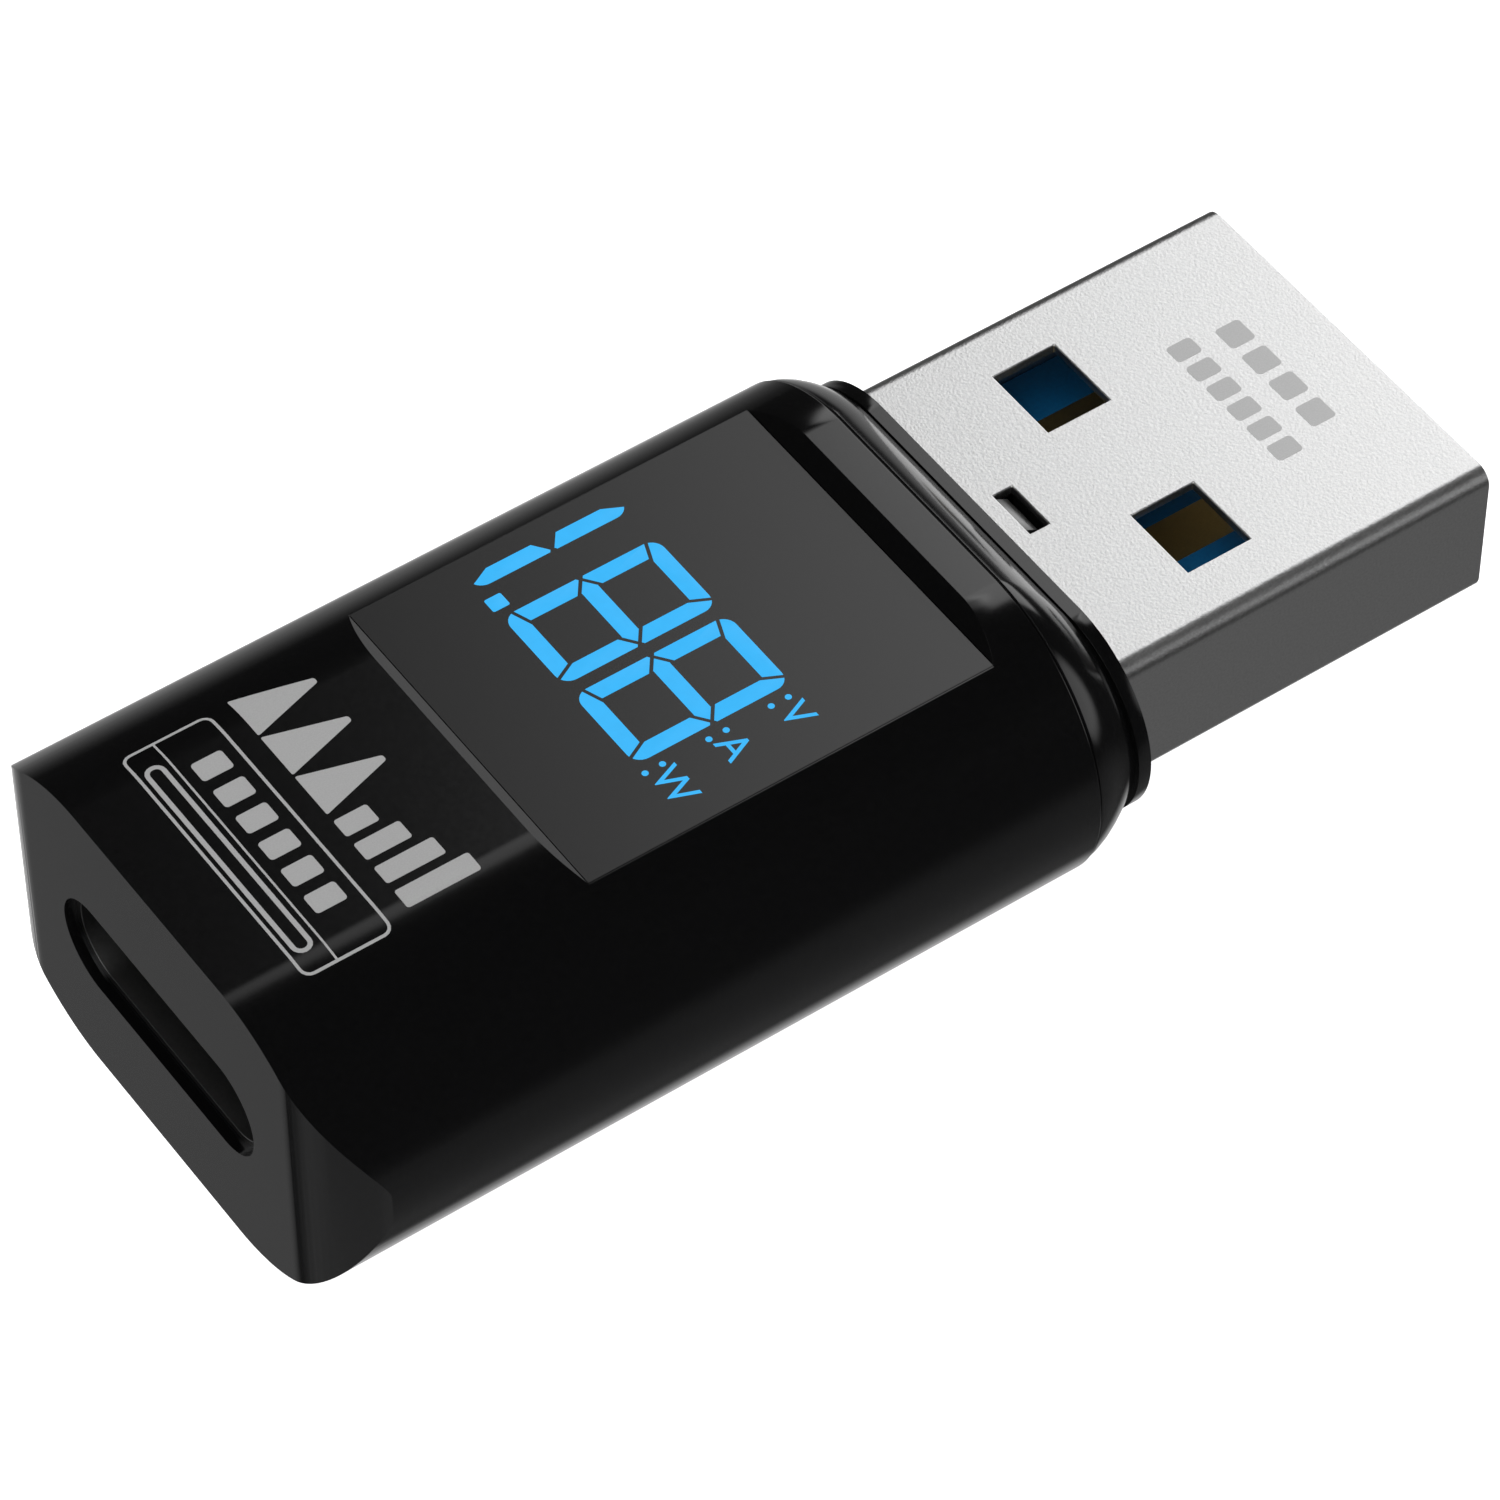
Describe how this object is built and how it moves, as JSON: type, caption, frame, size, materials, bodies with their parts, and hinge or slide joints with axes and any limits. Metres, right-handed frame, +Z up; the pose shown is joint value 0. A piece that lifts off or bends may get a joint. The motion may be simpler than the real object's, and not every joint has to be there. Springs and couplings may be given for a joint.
{
  "type": "usb power meter",
  "caption": "In-line USB power meter: a plug on one end, a socket in the other, and a small lit segment display in the top of a glossy rounded housing.",
  "frame": {"origin": "under the middle of the bounding box, on the surface that the flat underside rests on", "axes": "+X towards the plug's tip, +Z up out of the display, +Y to the left when looking along +X"},
  "size_m": [0.037, 0.016, 0.0096],
  "materials": {
    "black_housing": "gloss",
    "smoked_window": "satin",
    "adhesive_tape": "matte",
    "mask_plastic": "matte",
    "blue_light_guide": "satin",
    "led_chip": "gloss",
    "board_laminate": "satin",
    "plug_steel": "satin",
    "socket_steel": "satin",
    "blue_insulator": "satin",
    "black_insulator": "matte",
    "gold_contact": "polished",
    "chip_body": "matte",
    "ceramic_body": "satin",
    "tinned_metal": "satin"
  },
  "bodies": {
    "meter": {"housing_sleeve": "black_housing", "end_cap": "black_housing", "display_window": "smoked_window", "window_tape": "adhesive_tape", "display_mask": "mask_plastic", "segment_light_guides": "blue_light_guide", "unit_light_guides": "blue_light_guide", "led_chips": "led_chip", "display_board": "board_laminate", "main_board": "board_laminate", "plug_shell": "plug_steel", "socket_shell": "socket_steel", "socket_ground_plates": "socket_steel", "socket_mid_plate": "socket_steel", "plug_insulator": "blue_insulator", "socket_insulator": "black_insulator", "plug_power_and_data_pads": "gold_contact", "plug_spring_tails": "gold_contact", "socket_upper_contacts": "gold_contact", "socket_lower_contacts": "gold_contact", "display_pins": "gold_contact", "redriver_chip": "chip_body", "meter_chip": "chip_body", "voltage_regulator": "chip_body", "chip_resistors": "chip_body", "current_shunt": "chip_body", "bulk_capacitor": "ceramic_body", "ceramic_capacitors": "ceramic_body", "redriver_pads": "tinned_metal", "meter_pads": "tinned_metal", "regulator_leads": "tinned_metal", "shunt_terminals": "tinned_metal", "bulk_capacitor_terminals": "tinned_metal", "capacitor_terminals": "tinned_metal", "resistor_terminals": "tinned_metal"},
    "spring_1": {"spring_contact_1": "gold_contact"},
    "spring_2": {"spring_contact_2": "gold_contact"},
    "spring_3": {"spring_contact_3": "gold_contact"},
    "spring_4": {"spring_contact_4": "gold_contact"},
    "spring_5": {"spring_contact_5": "gold_contact"}
  },
  "joints": [
    {"name": "spring_1_flex", "type": "hinge", "parent": "meter", "child": "spring_1", "pos_m": [0.00655, -0.004, 0.004], "axis": [0, 1, 0], "range_deg": [0, 5], "stiffness_Nm_per_rad": 0.013},
    {"name": "spring_2_flex", "type": "hinge", "parent": "meter", "child": "spring_2", "pos_m": [0.00655, -0.002, 0.004], "axis": [0, 1, 0], "range_deg": [0, 5], "stiffness_Nm_per_rad": 0.013},
    {"name": "spring_3_flex", "type": "hinge", "parent": "meter", "child": "spring_3", "pos_m": [0.00655, 0, 0.004], "axis": [0, 1, 0], "range_deg": [0, 5], "stiffness_Nm_per_rad": 0.013},
    {"name": "spring_4_flex", "type": "hinge", "parent": "meter", "child": "spring_4", "pos_m": [0.00655, 0.002, 0.004], "axis": [0, 1, 0], "range_deg": [0, 5], "stiffness_Nm_per_rad": 0.013},
    {"name": "spring_5_flex", "type": "hinge", "parent": "meter", "child": "spring_5", "pos_m": [0.00655, 0.004, 0.004], "axis": [0, 1, 0], "range_deg": [0, 5], "stiffness_Nm_per_rad": 0.013}
  ]
}
